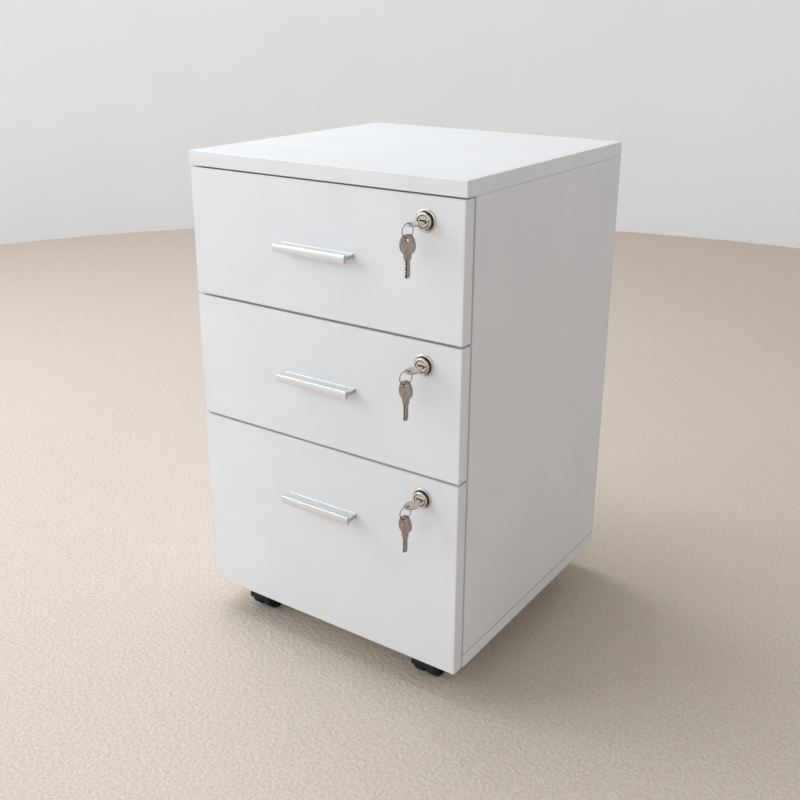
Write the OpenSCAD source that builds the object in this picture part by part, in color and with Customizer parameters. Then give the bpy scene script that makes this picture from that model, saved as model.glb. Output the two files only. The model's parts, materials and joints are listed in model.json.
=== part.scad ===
// Mobile drawer pedestal: a white board case on four castors, with three locking drawers.
// X is to the right, Y to the back and Z up, in millimetres. The origin is on the floor,
// under the middle of the whole object.

/* [Case] */
// Width across the side panels
case_w = 400; // [360:5:480]
// Depth from the faces of the drawer fronts to the back
case_d = 400; // [395:5:600]
// Height from the underside of the base panel to the top
case_h = 600; // [580:5:720]
// Thickness of the case boards and drawer fronts
board_t = 18; // [15:1:20]

/* [Drawer fronts] */
// Height of the upper front
upper_front_h = 160; // [150:2:180]
// Height of the middle front
middle_front_h = 162; // [150:2:180]
// Gap between two fronts
front_gap = 3; // [2:0.5:5]
// Gap between the upper front and the top panel
top_gap = 2; // [2:0.5:4]
// How far each end of a front stays inside the case's side
front_inset = 1.5; // [0.5:0.5:3]
// Gap between a closed front and the front edges of the side panels
front_rest_gap = 2; // [1:0.5:3]

/* [Drawer boxes] */
// Thickness of the drawer boxes' side and back boards
box_t = 12; // [12:1:16]
// Distance of a drawer box's upper edge below the top of its front
box_headroom = 48; // [46:1:80]
// Height of a drawer box above the lower edge of its opening
box_lift = 12; // [10:1:16]
// Thickness of the drawer bottoms
bottom_t = 3; // [3:0.5:5]
// Depth of the groove that holds a drawer bottom
groove_depth = 6; // [4:0.5:7]
// Height of the groove above the lower edge of a box side
groove_lift = 10; // [8:1:14]

/* [Slides] */
// Clearance between a closed drawer and the back panel
drawer_clearance = 10; // [4:1:60]
// Side clearance that the slides need between case and drawer box
slide_space = 12.5; // [12.5:0.5:14]
// Sheet thickness of the slide members
slide_t = 1.2; // [1:0.1:1.5]
// Diameter of the slide rollers
roller_d = 18; // [16:0.5:20]
// Width of the slide rollers
roller_w = 6; // [5:0.5:7]
// Length of a slide that stays in the case when its drawer is open
slide_overlap = 90; // [70:5:150]

/* [Handles] */
// Length of a handle
handle_len = 106; // [104:2:160]
// Distance between the two handle screws
handle_pitch = 96; // [64:32:96]
// How far a handle stands out from the front
handle_reach = 19; // [16:1:26]
// Height of the handle's front lip
lip_h = 10.2; // [9:0.2:14]
// Thickness of the handle's front lip
lip_t = 3.2; // [2.4:0.2:4]
// Thickness of the handle's web
web_t = 4.4; // [4.2:0.2:4.6]
// Depth of the web's top below the top of the lip
web_drop = 2.2; // [1.6:0.2:2.4]
// Height of the handle's foot
foot_h = 6.8; // [6.4:0.2:8]
// Thickness of the handle's foot
foot_t = 2.4; // [2:0.2:3]
// Distance of the handle screws below the top of the front
handle_drop = 79; // [70:1:84]

/* [Locks] */
// Distance of a lock from the right end of its front
lock_inset = 49; // [48:1:54]
// Distance of a lock below the top of its front
lock_drop = 27; // [27:1:30]
// Diameter of the lock's flange
lock_flange_d = 26; // [24:0.5:28]
// Diameter of the lock's raised head
lock_head_d = 19.4; // [18.8:0.2:22]
// How far the lock's head stands out from the front
lock_reach = 6.5; // [4:0.5:8]
// Diameter of the lock's threaded barrel
barrel_d = 18.6; // [17:0.2:18.6]
// Diameter of the turning plug
plug_d = 13.4; // [12.8:0.2:14.4]
// Reach of the cam from the lock's axis
cam_reach = 25; // [23:0.5:26]
// Width of the cam
cam_w = 12; // [10:0.5:12]

/* [Keys] */
// Width of a key's bow
bow_w = 18.8; // [17:0.2:20]
// Length of a key's bow
bow_l = 23; // [21:0.5:25]
// Length of a key's blade
blade_l = 20.5; // [18:0.5:22]
// Thickness of a key
key_t = 1.8; // [1.6:0.1:2]
// Diameter of the hole in a key's bow
key_hole_d = 4.6; // [4.4:0.1:5]
// Distance of that hole's centre from the end of the bow
key_hole_in = 6.2; // [5.5:0.1:6.6]
// Outer diameter of a key ring
ring_d = 17; // [16:0.5:22]
// Thickness of a key ring's wire
wire_d = 1.1; // [0.9:0.1:1.2]

/* [Castors] */
// Height of the base panel above the floor
castor_h = 46; // [46:1:60]
// Diameter of the castor wheels
wheel_d = 40; // [36:1:40]
// Width of one castor wheel
wheel_w = 12; // [10:1:14]
// Side of a castor's square plate
castor_plate_w = 38; // [38:1:46]
// Distance of the wheels' axle behind the swivel
castor_trail = 16; // [14:1:20]
// Distance of the castor swivels from the case's sides
castor_inset_x = 62; // [44:1:80]
// Distance of the castor swivels from the drawer faces and from the back
castor_inset_y = 62; // [58:1:90]

/* [Hidden] */

$fn = 64;

// Clearances
seat_gap = 0.05;      // a pin, bolt or disc in its hole, all round
run_gap = 0.05;       // a turning shaft in its bore, all round
roll_gap = 0.1;       // a roller over its track
rail_play = 0.4;      // a runner's track under the rail's upper lip, and over its roller
hang_gap = 0.15;      // a hanging key or ring and the metal that it hangs from
eps = 1;              // how far a cutter runs past the face that it opens

// Small parts that come in one size
screw_d = 4;
thread_d = 3;         // the handle screws and the cam screws
cam_screw_l = 8;
screw_head_d = 8;
screw_head_h = 2.5;
wood_screw_d = 3.5;
wood_screw_l = 14;
wood_screw_head_d = 6.5;
wood_screw_head_h = 1.5;
handle_thread = 6;    // how deep a handle screw goes into the handle
lip_over = 1;         // the top of a handle's lip above its foot's
flange_t = 1.8;
nut_t = 4;
nut_af = 23;          // across the flats
barrel_out = 8;       // the barrel's length behind the front
plug_recess = 0.3;    // the plug's face below the lock's head
cam_gap = 0.2;        // between the barrel's end and the cam
cam_t = 2;
cam_eye_wall = 2;     // by how much the cam's round end is wider than the cam, each side
spigot_d = 6;         // the plug's tail, which carries the cam
keyway_w = 6;
keyway_spare = 0.5;   // the keyway's depth beyond the key's tip
neck_l = 4;
neck_w = 9;
blade_w = 5.6;
bow_wide_at = 12;     // the bow's widest place, from the neck
bow_tip_d = 15.8;     // the diameter of the bow's end
cut_start = 3;        // the first cut's distance from the shoulder
cut_end = 2;          // the last cut's distance from the tip, less one pitch
cut_w = 2.8;          // a cut's width at the blade's edge
cut_floor_w = 0.8;    // its width at its floor
ring_lift = 1.6;      // the wire's centre above the bow's upper face, at the ring's top
strike_t = 1.5;
strike_w = 16;        // the strike's height, and how far it stands in from the side panel
strike_l = 22;
strike_gap = 0.7;     // between a locked cam and its strike
strike_screw_in = 8;  // from the strike's back end to its screws
slide_setback = 2;    // from the side panels' front edges to the slides
pin_d = 5;            // the slide rollers' pins
roller_inset = 12;    // from a slide member's end to its roller's pin
roller_lift = 7.7;    // the front rollers' pins above the box's lower edge
roller_side_gap = 0.8;   // between a roller and the sheet beside it
lip_gap = 1.3;        // between the rail's lips and the runner
lip_clear = 3;        // between the rail's upper lip and the roller that it stops short of
stop_h = 4;           // the height of the rail's stops
rail_screw_in = 60;   // from a rail's ends to its screws
king_pin_d = 8;
king_pin_l = 14;      // with its countersunk head, which is riveted into the plate
king_head_d = 12;
swivel_gap = 0.3;     // between a castor's plate and its hood
pin_end_gap = 0.5;    // below the king pin's end
boss_wall = 4;
axle_d = 5;
plate_t = 2;
castor_screw_in = 5;  // from the plate's edges to its screws
web_w = 8;            // the hood's middle wall, between the two wheels
web_setback = 5;      // how far the web's round end stays inside the wheels' rim
wheel_gap = 0.5;      // between the web and the wheels
hood_t = 2;
hood_gap = 1;         // between the wheels and the hood
hood_drop = 2;        // how far the hood and its boss reach below the axle
case_cam = [15, 12.5, 6, 24];   // disc diameter and depth, bolt diameter, disc's distance in
box_cam = [11, 8, 4.5, 18];
bolt_bite = 10;       // how deep a fitting's bolt goes into the second board
fitting_front_in = 40;   // the case fittings, from the side panels' front edges
fitting_back_in = 60;    // the same, from the back
fitting_z_in = 90;       // the back panel's fittings, from its lower and upper edges
box_fitting_low = 30;    // the box fittings and screws, above the box's lower edge
box_fitting_high = 25;   // the same, below its upper edge
box_screw_l = 36;

// Heights
top_z = castor_h + case_h;
base_top = castor_h + board_t;
lower_front_h = case_h - board_t - top_gap - upper_front_h - middle_front_h - 2 * front_gap;
front_h = [upper_front_h, middle_front_h, lower_front_h];
front_top = [
    top_z - board_t - top_gap,
    top_z - board_t - top_gap - upper_front_h - front_gap,
    castor_h + lower_front_h];
function front_bottom(n) = front_top[n] - front_h[n];
function opening_floor(n) = n == 2 ? base_top : front_bottom(n);
function box_z(n) = opening_floor(n) + box_lift;
function side_h(n) = front_top[n] - box_headroom - box_z(n);
function lock_z(n) = front_top[n] - lock_drop;
function handle_z(n) = front_top[n] - handle_drop;

// Key ring geometry: the ring's wire crosses the key's middle plane at the hole's centre
ring_r = (ring_d - wire_d) / 2;
ring_rise = key_t / 2 + ring_lift;
ring_fall = ring_r - ring_rise;
ring_out = sqrt(ring_r * ring_r - ring_fall * ring_fall);
key_reach = lock_reach + neck_l + bow_l;
hole_reach = key_reach - key_hole_in;
ring_turn = [-12, -24, -16];    // how far each ring and spare key hang turned
spare_turn = [8, -6, -6];

// Depths: the whole object is centred on Y, from the front of the rings to the back
ring_reach = hole_reach + (ring_out + ring_r) * max([for (a = ring_turn) cos(a)]) + wire_d / 2;
face_y = (ring_reach - case_d) / 2;
back_y = face_y + case_d;
front_back_y = face_y + board_t;
case_y = front_back_y + front_rest_gap;
slide_y = case_y + slide_setback;
slide_len = back_y - board_t - drawer_clearance - slide_y;
travel = slide_len - slide_overlap;

// Widths
front_w = case_w - 2 * front_inset;
inner_w = case_w - 2 * board_t;
box_w = inner_w - 2 * slide_space;
lock_x = front_w / 2 - lock_inset;

// Slide section, from the box's lower edge upwards
track_z = roller_lift + roller_d / 2 + roll_gap;    // underside of the runner's track
rail_floor = track_z - roller_d - 2 * rail_play;    // upper face of the rail's lower lip
rail_ceiling = track_z + slide_t + rail_play;       // underside of the rail's upper lip
runner_roller_z = rail_floor + roll_gap + roller_d / 2;
roller_x0 = slide_t + roller_side_gap;              // from the side panel to a roller's near face
runner_x = slide_space - slide_t;                   // from the side panel to the runner's web
rail_lip_w = runner_x - lip_gap;
track_w = runner_x - slide_t - roller_side_gap;

// Castors
castor_x = case_w / 2 - castor_inset_x;
castor_front_y = face_y + castor_inset_y;
castor_back_y = back_y - castor_inset_y;
hood_r = wheel_d / 2 + hood_gap + hood_t;
hood_w = web_w + 2 * (wheel_gap + wheel_w);
plate_z = castor_h - plate_t;

// ---- Board fittings ----

// A cam disc and its bolt. The bolt runs along +Z from the disc and crosses the joint at z = 0.
// The disc lies below, its axis along +X, opening at x = board / 2.
module cam_fitting(size, board, grow = 0) {
    translate([board / 2 - size[1] - grow, 0, -size[3]])
        rotate([0, 90, 0]) cylinder(d = size[0] + 2 * grow, h = size[1] + grow);
    translate([0, 0, -size[3]]) cylinder(d = size[2] + 2 * grow, h = size[3] + bolt_bite + grow);
}

// The cutter for a fitting: the same shape, grown by the seat's gap and open at the disc's face
module cam_hole(size, board) {
    cam_fitting(size, board, seat_gap);
    translate([board / 2, 0, -size[3]])
        rotate([0, 90, 0]) cylinder(d = size[0] + 2 * seat_gap, h = eps);
}

side_x = case_w / 2 - board_t / 2;
fitting_ys = [case_y + fitting_front_in, back_y - fitting_back_in];
fitting_zs = [base_top + fitting_z_in, top_z - board_t - fitting_z_in];

// Where the case fittings sit: side panels to top, side panels to base, back panel to sides
module at_case_fittings() {
    for (side = [-1, 1]) {
        for (y = fitting_ys) {
            translate([side * side_x, y, top_z - board_t])
                mirror([side > 0 ? 1 : 0, 0, 0]) children();
            translate([side * side_x, y, base_top])
                mirror([side > 0 ? 1 : 0, 0, 0]) mirror([0, 0, 1]) children();
        }
        for (z = fitting_zs)
            translate([side * inner_w / 2, back_y - board_t / 2, z])
                rotate([0, side * 90, 0]) rotate([0, 0, -90]) children();
    }
}

module case_fittings() {
    color("silver") at_case_fittings() cam_fitting(case_cam, board_t);
}

module case_fitting_holes() {
    at_case_fittings() cam_hole(case_cam, board_t);
}

// ---- Case boards ----

module board(x0, x1, y0, y1, z0, z1) {
    translate([x0, y0, z0]) cube([x1 - x0, y1 - y0, z1 - z0]);
}

module top_panel() {
    color("white") difference() {
        board(-case_w / 2, case_w / 2, face_y, back_y, top_z - board_t, top_z);
        case_fitting_holes();
    }
}

module base_panel() {
    color("white") difference() {
        board(-case_w / 2, case_w / 2, case_y, back_y, castor_h, base_top);
        case_fitting_holes();
        at_castor_screws() wood_screw(seat_gap);
    }
}

module side_panel(side) {
    inner = side * inner_w / 2;
    outer = side * case_w / 2;
    difference() {
        board(min(inner, outer), max(inner, outer), case_y, back_y, base_top, top_z - board_t);
        case_fitting_holes();
        at_rail_screws(side) wood_screw(seat_gap);
        if (side > 0) at_strike_screws() wood_screw(seat_gap);
    }
}

module side_panel_left() {
    color("white") side_panel(-1);
}

module side_panel_right() {
    color("white") side_panel(1);
}

module back_panel() {
    color("white") difference() {
        board(-inner_w / 2, inner_w / 2, back_y - board_t, back_y, base_top, top_z - board_t);
        case_fitting_holes();
    }
}

// ---- Slides ----

// Places children at a slide's origin: the case's inner face, level with the box's lower edge.
// There +X points into the case, away from that face.
module at_slide(n, side) {
    translate([side * inner_w / 2, slide_y, box_z(n)])
        mirror([side > 0 ? 1 : 0, 0, 0]) children();
}

open_roller_y = slide_len - roller_inset - travel;

module at_rail_screws(side) {
    for (n = [0:2], y = [rail_screw_in, slide_len - rail_screw_in])
        at_slide(n, side) translate([slide_t, y, (rail_floor + rail_ceiling) / 2])
            rotate([0, 90, 0]) children();
}

// A channel screwed to the case, its upper lip cut back over the roller at the front.
// Two tabs on its floor stop the runner's roller, one at each end of the travel.
module slide_rail(n, side) {
    channel_h = rail_ceiling - rail_floor + 2 * slide_t;
    lip_cut = roller_inset + roller_d / 2 + lip_clear;
    difference() {
        at_slide(n, side) {
            translate([0, 0, rail_floor - slide_t]) cube([slide_t, slide_len, channel_h]);
            translate([0, 0, rail_floor - slide_t]) cube([rail_lip_w, slide_len, slide_t]);
            translate([0, lip_cut, rail_ceiling]) cube([rail_lip_w, slide_len - lip_cut, slide_t]);
            translate([0, roller_inset, roller_lift])
                rotate([0, 90, 0]) cylinder(d = pin_d, h = roller_x0 + roller_w);
            for (y = [open_roller_y - roller_d / 2 - slide_t - roll_gap, slide_len - slide_t])
                translate([0, y, rail_floor - slide_t])
                    cube([rail_lip_w, slide_t, slide_t + stop_h]);
        }
        at_rail_screws(side) wood_screw(seat_gap);
    }
}

module slide_rails() {
    color("whitesmoke") for (n = [0:2], side = [-1, 1]) slide_rail(n, side);
}

// The runner: an angle under the box's side, whose upper track rides on the rail's roller
module slide_runner(n, side) {
    at_slide(n, side) {
        translate([runner_x, 0, -slide_t]) cube([slide_t, slide_len, track_z + 2 * slide_t]);
        translate([runner_x, 0, -slide_t]) cube([slide_t + box_t, slide_len, slide_t]);
        translate([runner_x - track_w, 0, track_z]) cube([track_w + slide_t, slide_len, slide_t]);
        translate([roller_x0, slide_len - roller_inset, runner_roller_z])
            rotate([0, 90, 0]) cylinder(d = pin_d, h = runner_x - roller_x0);
    }
}

module slide_runners(n) {
    color("whitesmoke") for (side = [-1, 1]) slide_runner(n, side);
}

module roller() {
    rotate([0, 90, 0]) difference() {
        cylinder(d = roller_d, h = roller_w);
        translate([0, 0, -eps]) cylinder(d = pin_d + 2 * run_gap, h = roller_w + 2 * eps);
    }
}

// The rollers on the rails, at the front
module rail_rollers(n) {
    color("ivory") for (side = [-1, 1])
        at_slide(n, side) translate([roller_x0, roller_inset, roller_lift]) roller();
}

// The rollers on the runners, at the back
module runner_rollers(n) {
    color("ivory") for (side = [-1, 1])
        at_slide(n, side) translate([roller_x0, slide_len - roller_inset, runner_roller_z]) roller();
}

// ---- Drawer boxes ----

box_in_w = box_w - 2 * box_t;
function box_fitting_zs(n) = [box_z(n) + box_fitting_low, box_z(n) + side_h(n) - box_fitting_high];

// Where the box fittings sit: the sides to the front
module at_box_fittings(n) {
    for (side = [-1, 1], z = box_fitting_zs(n))
        translate([side * (box_w - box_t) / 2, front_back_y, z])
            rotate([90, 0, 0]) mirror([side > 0 ? 1 : 0, 0, 0]) children();
}

// Where the screws through the box's sides hold its back board
module at_box_screws(n) {
    for (side = [-1, 1], z = box_fitting_zs(n))
        translate([side * box_w / 2, slide_y + slide_len - box_t / 2, z])
            mirror([side > 0 ? 0 : 1, 0, 0]) children();
}

module box_screw(grow = 0) {
    translate([-box_screw_l - grow, 0, 0])
        rotate([0, 90, 0]) cylinder(d = screw_d + 2 * grow, h = box_screw_l + grow);
}

// The drawer bottom, which slides into a groove all round
module bottom_plate(n, grow = 0) {
    board(-box_in_w / 2 - groove_depth - grow, box_in_w / 2 + groove_depth + grow,
        front_back_y - groove_depth - grow, slide_y + slide_len - box_t + groove_depth + grow,
        box_z(n) + groove_lift - grow, box_z(n) + groove_lift + bottom_t + grow);
}

module box_sides(n) {
    color("white") difference() {
        for (side = [-1, 1])
            translate([side > 0 ? box_w / 2 - box_t : -box_w / 2, front_back_y, box_z(n)])
                cube([box_t, slide_y + slide_len - front_back_y, side_h(n)]);
        bottom_plate(n, seat_gap);
        at_box_fittings(n) cam_hole(box_cam, box_t);
        at_box_screws(n) box_screw(seat_gap);
    }
}

module box_back(n) {
    color("white") difference() {
        board(-box_in_w / 2, box_in_w / 2, slide_y + slide_len - box_t, slide_y + slide_len,
            box_z(n), box_z(n) + side_h(n));
        bottom_plate(n, seat_gap);
        at_box_screws(n) box_screw(seat_gap);
    }
}

module box_bottom(n) {
    color("gainsboro") bottom_plate(n);
}

// The front, with its groove and its holes for the handle's screws and the lock
module front(n) {
    color("white") difference() {
        board(-front_w / 2, front_w / 2, face_y, front_back_y, front_bottom(n), front_top[n]);
        bottom_plate(n, seat_gap);
        at_box_fittings(n) cam_hole(box_cam, box_t);
        at_handle_screws(n) handle_screw(seat_gap);
        translate([lock_x, face_y - eps, lock_z(n)])
            rotate([-90, 0, 0]) cylinder(d = barrel_d + 2 * seat_gap, h = board_t + 2 * eps);
    }
}

// ---- Handles ----

module at_handle_screws(n) {
    for (side = [-1, 1]) translate([side * handle_pitch / 2, front_back_y, handle_z(n)]) children();
}

// A screw from inside the drawer, through the front and into the handle's foot
module handle_screw(grow = 0) {
    rotate([90, 0, 0]) cylinder(d = thread_d + 2 * grow, h = board_t + handle_thread);
}

module handle_section() {
    lip_top = foot_h / 2 + lip_over;
    web_top = lip_top - web_drop;
    web_mid = web_top - web_t / 2;
    flare = (foot_h - web_t) / 2;
    translate([0, -web_mid]) {
        difference() {
            translate([0, -foot_h / 2]) square([foot_t + flare, foot_h]);
            for (side = [-1, 1]) translate([foot_t + flare, side * foot_h / 2]) circle(r = flare);
        }
        translate([0, web_top - web_t]) square([handle_reach - lip_t / 2, web_t]);
        translate([handle_reach - lip_t, lip_top - lip_h + lip_t / 2])
            square([lip_t, lip_h - lip_t]);
        for (z = [lip_top - lip_t / 2, lip_top - lip_h + lip_t / 2])
            translate([handle_reach - lip_t / 2, z]) circle(d = lip_t);
    }
}

// An extruded bar: foot, web and front lip, drilled from behind for its two screws
module handle(n) {
    color("silver") difference() {
        translate([-handle_len / 2, face_y, handle_z(n)])
            rotate([90, 0, 90]) mirror([1, 0, 0]) linear_extrude(handle_len) handle_section();
        at_handle_screws(n) handle_screw(seat_gap);
    }
}

// ---- Drawer fixings ----

module fixings(n) {
    color("silver") {
        at_handle_screws(n) {
            handle_screw();
            rotate([-90, 0, 0]) cylinder(d = screw_head_d, h = screw_head_h);
        }
        at_box_fittings(n) cam_fitting(box_cam, box_t);
        at_box_screws(n) box_screw();
        translate([lock_x, front_back_y, lock_z(n)]) rotate([-90, 0, 0]) difference() {
            cylinder(r = nut_af / 2 / cos(30), h = nut_t, $fn = 6);
            translate([0, 0, -eps]) cylinder(d = barrel_d + 2 * seat_gap, h = nut_t + 2 * eps);
        }
    }
}

// ---- Locks ----

cam_y = board_t + barrel_out + cam_gap;    // the cam's front face, behind the drawer's face

// Places children on a lock's axis at the drawer's face, with +Z pointing into the drawer
module at_lock(n) {
    translate([lock_x, face_y, lock_z(n)]) rotate([-90, 0, 0]) children();
}

// The fixed housing: flange, stepped head and threaded barrel
module lock_body(n) {
    color("silver") at_lock(n) difference() {
        union() {
            translate([0, 0, -flange_t]) cylinder(d = lock_flange_d, h = flange_t);
            translate([0, 0, -lock_reach]) cylinder(d = lock_head_d, h = lock_reach);
            cylinder(d = barrel_d, h = board_t + barrel_out);
        }
        translate([0, 0, -lock_reach - eps])
            cylinder(d = plug_d + 2 * run_gap, h = lock_reach + board_t + barrel_out + 2 * eps);
    }
}

// The screw that holds a cam on its plug: the head from z = 0 upwards, the shank below it
module cam_screw(grow = 0) {
    translate([0, 0, -cam_screw_l - grow]) cylinder(d = thread_d + 2 * grow, h = cam_screw_l + grow + eps);
    cylinder(d = screw_head_d, h = screw_head_h);
}

// The turning plug with its keyway, and the cam and screw on its tail
module lock_plug(n) {
    color("silver") at_lock(n) {
        difference() {
            union() {
                translate([0, 0, plug_recess - lock_reach])
                    cylinder(d = plug_d, h = lock_reach - plug_recess + board_t + barrel_out);
                cylinder(d = spigot_d, h = cam_y + cam_t);
            }
            translate([-keyway_w / 2, -key_t / 2 - seat_gap, -lock_reach - eps])
                cube([keyway_w, key_t + 2 * seat_gap, blade_l + eps + keyway_spare]);
            translate([0, 0, cam_y + cam_t]) cam_screw(seat_gap);
        }
        translate([0, 0, cam_y]) difference() {
            union() {
                cylinder(d = cam_w + 2 * cam_eye_wall, h = cam_t);
                translate([-cam_w / 2, -cam_reach, 0]) cube([cam_w, cam_reach, cam_t]);
            }
            translate([0, 0, -eps]) cylinder(d = spigot_d + 2 * seat_gap, h = cam_t + 2 * eps);
        }
        translate([0, 0, cam_y + cam_t + seat_gap]) cam_screw();
    }
}

// The catch on the right side panel, which a turned cam reaches behind
strike_y = cam_y - strike_gap - strike_t;

module at_strike_screws() {
    for (n = [0:2], z = [-strike_w / 4, strike_w / 4])
        translate([inner_w / 2 - strike_t, face_y + strike_y + strike_l - strike_screw_in,
            lock_z(n) + z])
            rotate([0, -90, 0]) children();
}

// Each strike is a screwed plate and a tongue welded to it, a seat gap apart
module lock_strikes() {
    color("silver") difference() {
        for (n = [0:2])
            translate([inner_w / 2, face_y + strike_y, lock_z(n) - strike_w / 2]) {
                translate([-strike_t, 0, 0]) cube([strike_t, strike_l, strike_w]);
                translate([-strike_w, 0, 0]) cube([strike_w - strike_t - seat_gap, strike_t, strike_w]);
            }
        at_strike_screws() wood_screw(seat_gap);
    }
}

// ---- Wood screws ----

// A countersunk screw: its head's flat face at z = 0, its shank towards -Z
module wood_screw(grow = 0) {
    translate([0, 0, -wood_screw_head_h])
        cylinder(d1 = wood_screw_d + 2 * grow, d2 = wood_screw_head_d + 2 * grow, h = wood_screw_head_h);
    translate([0, 0, -wood_screw_l - grow])
        cylinder(d = wood_screw_d + 2 * grow, h = wood_screw_l + grow - wood_screw_head_h / 2);
    if (grow > 0) cylinder(d = wood_screw_head_d + 2 * grow, h = eps);
}

module wood_screws() {
    color("silver") {
        for (side = [-1, 1]) at_rail_screws(side) wood_screw();
        at_strike_screws() wood_screw();
        at_castor_screws() wood_screw();
    }
}

// ---- Keys ----

// A key seen on its flat: the shoulder at the origin, the bow towards -Y, the blade towards +Y
module key_outline() {
    bow_r = bow_w / 2;
    bow_tip_r = bow_tip_d / 2;
    bow_mid = neck_l + bow_wide_at;
    tip_mid = neck_l + bow_l - bow_tip_r;
    point_y = blade_l - blade_w / 2;
    translate([0, -bow_mid]) circle(r = bow_r);
    translate([0, -tip_mid]) circle(r = bow_tip_r);
    polygon([
        [-bow_tip_r, -tip_mid], [bow_tip_r, -tip_mid], [bow_r, -bow_mid],
        [neck_w / 2, -neck_l], [neck_w / 2, 0], [blade_w / 2, 0], [blade_w / 2, point_y],
        [0, blade_l],
        [-blade_w / 2, point_y], [-blade_w / 2, 0], [-neck_w / 2, 0], [-neck_w / 2, -neck_l],
        [-bow_r, -bow_mid]]);
}

// Depths of the cuts along a key's bitted edge, evenly spaced from the shoulder
cuts = [1.0, 1.6, 0.7, 1.3, 1.8, 0.9];

module key_blank() {
    cut_pitch = (blade_l - cut_start - cut_end) / len(cuts);
    translate([0, 0, -key_t / 2]) linear_extrude(key_t) difference() {
        key_outline();
        translate([0, -neck_l - bow_l + key_hole_in]) circle(d = key_hole_d);
        for (i = [0 : len(cuts) - 1])
            translate([-blade_w / 2, cut_start + i * cut_pitch])
                polygon([
                    [-eps, -cut_w / 2], [0, -cut_w / 2], [cuts[i], -cut_floor_w / 2],
                    [cuts[i], cut_floor_w / 2], [0, cut_w / 2], [-eps, cut_w / 2]]);
    }
}

module key(n) {
    color("silver") translate([lock_x, face_y - lock_reach, lock_z(n)]) key_blank();
}

// Places children at the centre of a ring, whose plane is local YZ with -Y away from the lock
module at_ring(n) {
    translate([lock_x, face_y - hole_reach, lock_z(n)])
        rotate([0, 0, ring_turn[n]]) translate([0, -ring_out, -ring_fall]) children();
}

module key_ring(n) {
    color("silver") at_ring(n) rotate([0, 90, 0])
        rotate_extrude($fn = 96) translate([ring_r, 0]) circle(d = wire_d, $fn = 24);
}

// The spare key hangs in the ring's lowest point, its flat towards the front
module spare_key(n) {
    hole_down = key_hole_d / 2 - wire_d / 2 - hang_gap;
    color("silver") at_ring(n) rotate([0, 0, spare_turn[n] - ring_turn[n]])
        translate([0, 0, -ring_r - hole_down - (neck_l + bow_l - key_hole_in)])
            rotate([-90, 0, 0]) key_blank();
}

// ---- Castors ----

module at_castors() {
    for (x = [-castor_x, castor_x], y = [castor_front_y, castor_back_y])
        translate([x, y, 0]) children();
}

module at_castor_screws() {
    pitch = castor_plate_w / 2 - castor_screw_in;
    at_castors() for (x = [-pitch, pitch], y = [-pitch, pitch])
        translate([x, y, plate_z]) rotate([180, 0, 0]) children();
}

// A king pin, its countersunk head flush with the plate's upper face
module king_pin(grow = 0) {
    translate([0, 0, castor_h - king_pin_l - grow])
        cylinder(d = king_pin_d + 2 * grow, h = king_pin_l + grow);
    translate([0, 0, plate_z])
        cylinder(d1 = king_pin_d + 2 * grow, d2 = king_head_d + 2 * grow, h = plate_t);
    if (grow > 0) translate([0, 0, castor_h]) cylinder(d = king_head_d + 2 * grow, h = eps);
}

// The plates under the base, each with a king pin riveted in
module castor_plates() {
    color("silver") {
        difference() {
            at_castors() translate([-castor_plate_w / 2, -castor_plate_w / 2, plate_z])
                cube([castor_plate_w, castor_plate_w, plate_t]);
            at_castor_screws() wood_screw(seat_gap);
            at_castors() king_pin(seat_gap);
        }
        at_castors() king_pin();
    }
}

// The hood: a middle wall that carries the axle, a cover over both wheels and the swivel's boss
module castor_hood() {
    boss_top = plate_z - swivel_gap;
    low = wheel_d / 2 - hood_drop;
    bore_low = castor_h - king_pin_l - pin_end_gap;
    color("dimgray") difference() {
        union() {
            intersection() {
                translate([-hood_w / 2, -castor_trail, wheel_d / 2])
                    rotate([0, 90, 0]) cylinder(r = hood_r, h = hood_w);
                translate([-hood_w / 2, -castor_trail - hood_r, low])
                    cube([hood_w, 2 * hood_r, boss_top - low]);
            }
            translate([-web_w / 2, -castor_trail, wheel_d / 2])
                rotate([0, 90, 0]) cylinder(r = wheel_d / 2 - web_setback, h = web_w);
            translate([0, 0, low]) cylinder(r = king_pin_d / 2 + boss_wall, h = boss_top - low);
        }
        for (side = [-1, 1])
            translate([side > 0 ? web_w / 2 : -hood_w / 2 - eps, -castor_trail, wheel_d / 2])
                rotate([0, 90, 0]) cylinder(r = wheel_d / 2 + hood_gap, h = hood_w / 2 - web_w / 2 + eps);
        translate([0, 0, bore_low])
            cylinder(d = king_pin_d + 2 * run_gap, h = boss_top - bore_low + eps);
        translate([-web_w / 2 - eps, -castor_trail, wheel_d / 2])
            rotate([0, 90, 0]) cylinder(d = axle_d + 2 * run_gap, h = web_w + 2 * eps);
    }
}

// Two wheels pressed on one axle, which turns in the hood
module castor_wheels() {
    translate([0, -castor_trail, wheel_d / 2]) {
        color("darkslategray") for (side = [-1, 1])
            translate([side > 0 ? web_w / 2 + wheel_gap : -web_w / 2 - wheel_gap - wheel_w, 0, 0])
                rotate([0, 90, 0]) difference() {
                    cylinder(d = wheel_d, h = wheel_w);
                    translate([0, 0, -eps]) cylinder(d = axle_d + 2 * seat_gap, h = wheel_w + 2 * eps);
                }
        color("silver") translate([-web_w / 2 - wheel_gap - wheel_w, 0, 0])
            rotate([0, 90, 0]) cylinder(d = axle_d, h = web_w + 2 * wheel_gap + 2 * wheel_w);
    }
}

module at_castor(side_x, end_y) {
    translate([side_x * castor_x, end_y < 0 ? castor_front_y : castor_back_y, 0]) children();
}

// ---- Parts ----

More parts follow.
